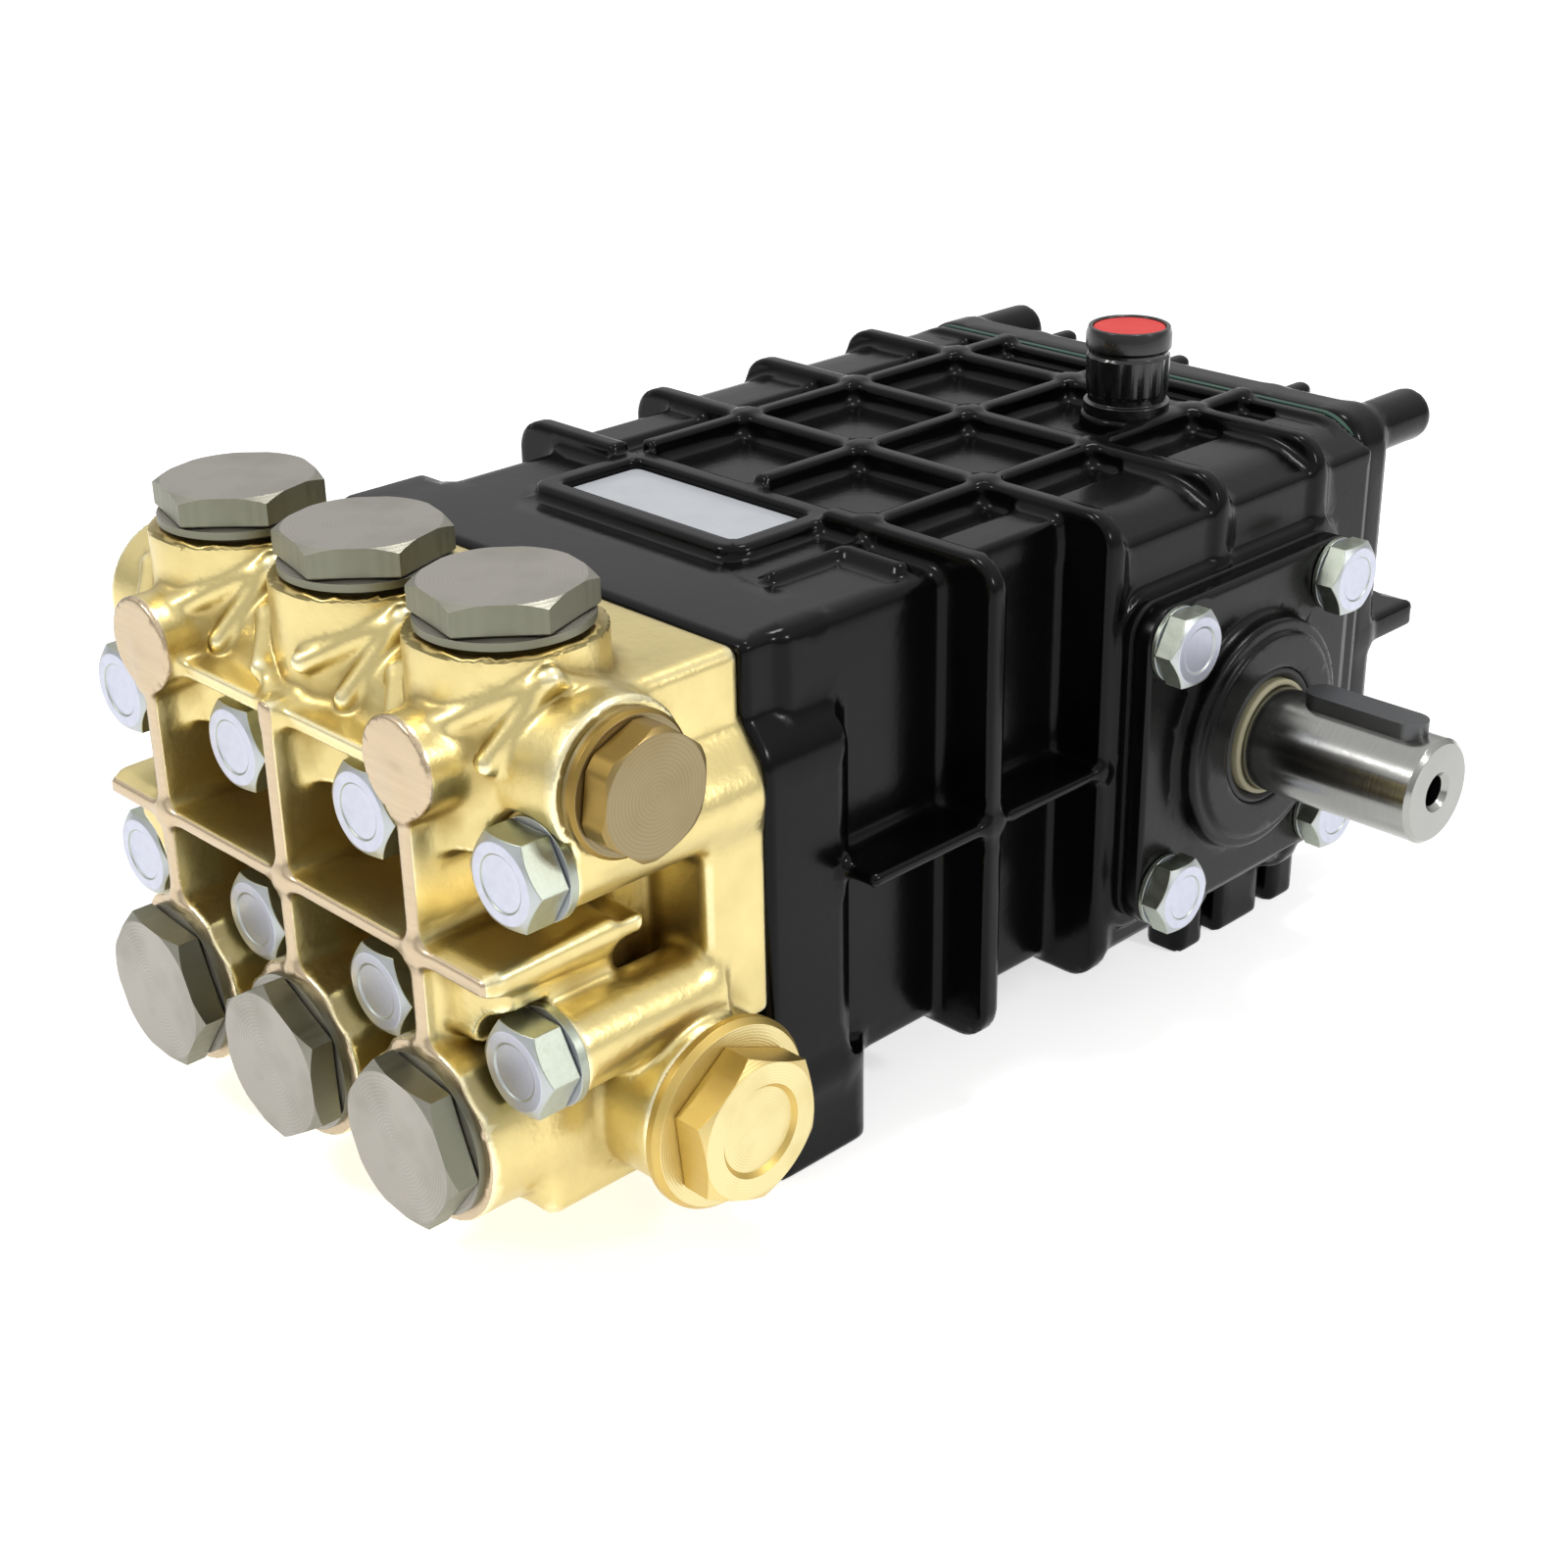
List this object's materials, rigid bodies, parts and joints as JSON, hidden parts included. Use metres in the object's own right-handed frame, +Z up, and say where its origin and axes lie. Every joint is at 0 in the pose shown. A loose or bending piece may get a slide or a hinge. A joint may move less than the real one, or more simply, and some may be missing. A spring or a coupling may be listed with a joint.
{
  "type": "triplex plunger high-pressure pump",
  "caption": "Compact horizontal triplex plunger pump: brass valve head with hexagon caps, ribbed black crankcase, keyed drive shaft and oil filler.",
  "frame": {"origin": "centre of the rectangle of the four foot holes, on the plane the feet rest on", "axes": "+X along the crankshaft towards its keyed end, -Y towards the brass head, +Z up"},
  "size_m": [0.2217, 0.3025, 0.147],
  "materials": {
    "cast_brass": "tumbled raw casting",
    "bright_brass": "turned",
    "olive_brass": "turned, darkened",
    "nickel_plug": "turned, nickel grey",
    "zinc_steel": "zinc plated",
    "washer_aluminium": "turned",
    "black_paint": "gloss black paint",
    "shim_paper": "painted over",
    "label_white": "plain printed film, blank",
    "seal_lip": "moulded",
    "ground_steel": "ground",
    "key_steel": "drawn",
    "gasket_green": "pressed sheet",
    "sight_clear": "clear",
    "black_plastic": "moulded, knurled",
    "red_plastic": "moulded"
  },
  "bodies": {
    "pump_body": {"manifold_head": "cast_brass", "delivery_valve_cap_1": "nickel_plug", "delivery_valve_cap_2": "nickel_plug", "delivery_valve_cap_3": "nickel_plug", "suction_valve_cap_1": "nickel_plug", "suction_valve_cap_2": "nickel_plug", "suction_valve_cap_3": "nickel_plug", "delivery_port_plug": "olive_brass", "delivery_port_washer": "washer_aluminium", "suction_port_plug": "bright_brass", "suction_port_washer": "washer_aluminium", "head_bolt_washers": "zinc_steel", "head_bolts_upper": "zinc_steel", "head_bolts_lower": "zinc_steel", "crankcase": "black_paint", "case_front_flange": "black_paint", "case_rear_feet": "black_paint", "case_hoop_ribs": "black_paint", "case_side_ribs": "black_paint", "rear_cover": "black_paint", "bearing_flange_drive": "black_paint", "bearing_flange_blind": "black_paint", "bearing_shim_drive": "shim_paper", "bearing_shim_blind": "shim_paper", "flange_bolts_drive": "zinc_steel", "flange_bolts_blind": "zinc_steel", "flange_washers_drive": "zinc_steel", "flange_washers_blind": "zinc_steel", "label_plate": "label_white", "shaft_seal": "seal_lip", "rear_gasket": "gasket_green", "rear_cover_bolts": "zinc_steel", "sight_glass_ring": "olive_brass", "sight_glass": "sight_clear", "drain_plug": "zinc_steel", "oil_filler": "black_plastic", "oil_filler_disc": "red_plastic"},
    "crankshaft_body": {"crankshaft": "ground_steel", "shaft_key": "key_steel"}
  },
  "joints": [
    {"name": "crankshaft_turn", "type": "hinge", "parent": "pump_body", "child": "crankshaft_body", "pos_m": [0.1377, 0.049, 0.066], "axis": [1, 0, 0], "continuous": true}
  ]
}
